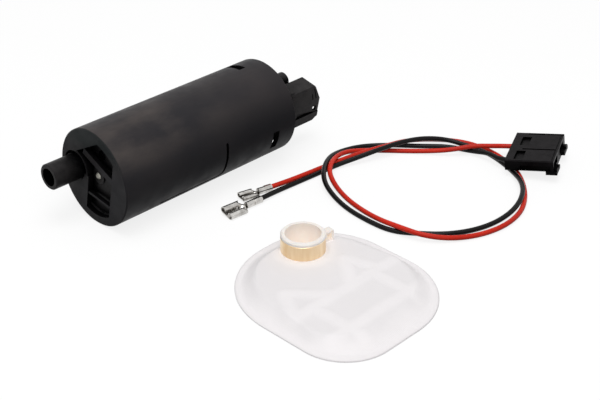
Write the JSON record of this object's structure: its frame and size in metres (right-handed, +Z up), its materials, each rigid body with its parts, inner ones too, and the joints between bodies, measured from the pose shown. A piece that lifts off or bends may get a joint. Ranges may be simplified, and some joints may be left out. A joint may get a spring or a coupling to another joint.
{
  "type": "fuel pump",
  "caption": "Electric in-tank fuel pump in a cylindrical plastic sleeve, with a flat mesh intake strainer and a looped wiring lead lying beside it.",
  "frame": {"origin": "on the pump axis, at the middle of the sleeve's length", "axes": "+X along the pump axis from the intake spigot to the electrical connector, +Z up from the table that all three pieces lie on, +Y level, away from the strainer and the lead"},
  "size_m": [0.1999, 0.1661, 0.0431],
  "materials": {
    "black_plastic": "moulded, slightly glossy",
    "cover_plastic": "moulded, satin",
    "rotor_plastic": "moulded",
    "steel_can": "drawn, plated",
    "pin_steel": "ground",
    "core_steel": "stamped laminations",
    "bronze": "sintered",
    "copper": "bare and enamelled",
    "brass": "rolled, bright",
    "tin": "tin plated",
    "magnet": "ferrite, ground",
    "carbon": "pressed carbon",
    "rubber": "moulded",
    "fleece": "bonded mesh",
    "natural_plastic": "translucent moulded",
    "wire_red": "extruded insulation",
    "wire_black": "extruded insulation"
  },
  "bodies": {
    "pump": {"outer_sleeve": "black_plastic", "isolator_ring": "rubber", "motor_can": "steel_can", "intake_cover": "cover_plastic", "intake_seal": "rubber", "thrust_pin": "pin_steel", "pump_casing": "cover_plastic", "front_bearing": "bronze", "magnet_left": "magnet", "magnet_right": "magnet", "magnet_clip_top": "steel_can", "magnet_clip_bottom": "steel_can", "end_cover": "cover_plastic", "end_seal": "rubber", "rear_bearing": "bronze", "terminal_blades": "tin", "brush_spring_left": "pin_steel", "brush_spring_right": "pin_steel", "choke_upper": "copper", "choke_lower": "copper", "check_valve_seat": "brass", "check_valve_spring": "pin_steel", "relief_spring": "pin_steel", "relief_plug": "brass", "strainer_fleece_upper": "fleece", "strainer_fleece_lower": "fleece", "strainer_grid": "natural_plastic", "strainer_neck": "natural_plastic", "strainer_catch": "natural_plastic", "strainer_band": "brass", "wire_black": "wire_black", "wire_red": "wire_red", "receptacle_black": "tin", "receptacle_red": "tin", "lead_connector": "cover_plastic", "lead_contacts": "tin", "lead_connector_lock": "cover_plastic"},
    "rotor": {"rotor_shaft": "pin_steel", "impeller": "rotor_plastic", "armature_core": "core_steel", "armature_windings": "copper", "commutator_hub": "rotor_plastic", "commutator_bars": "copper"},
    "brush_left": {"brush_left": "carbon"},
    "brush_right": {"brush_right": "carbon"},
    "check_valve": {"check_valve": "rotor_plastic"},
    "relief_ball": {"relief_ball": "pin_steel"}
  },
  "joints": [
    {"name": "rotor_spin", "type": "hinge", "parent": "pump", "child": "rotor", "pos_m": [0, 0, 0], "axis": [1, 0, 0], "continuous": true},
    {"name": "brush_left_slide", "type": "slide", "parent": "pump", "child": "brush_left", "axis": [1, 0, 0], "range_m": [0, 0.0025], "stiffness_N_per_m": 200, "springref_m": -0.004, "deforming": ["brush_spring_left"]},
    {"name": "brush_right_slide", "type": "slide", "parent": "pump", "child": "brush_right", "axis": [1, 0, 0], "range_m": [0, 0.0025], "stiffness_N_per_m": 200, "springref_m": -0.004, "deforming": ["brush_spring_right"]},
    {"name": "check_valve_lift", "type": "slide", "parent": "pump", "child": "check_valve", "axis": [1, 0, 0], "range_m": [0, 0.003], "stiffness_N_per_m": 40, "springref_m": -0.003, "deforming": ["check_valve_spring"]},
    {"name": "relief_ball_lift", "type": "slide", "parent": "pump", "child": "relief_ball", "axis": [1, 0, 0], "range_m": [0, 0.0012], "stiffness_N_per_m": 1200, "springref_m": -0.0022, "deforming": ["relief_spring"]}
  ]
}
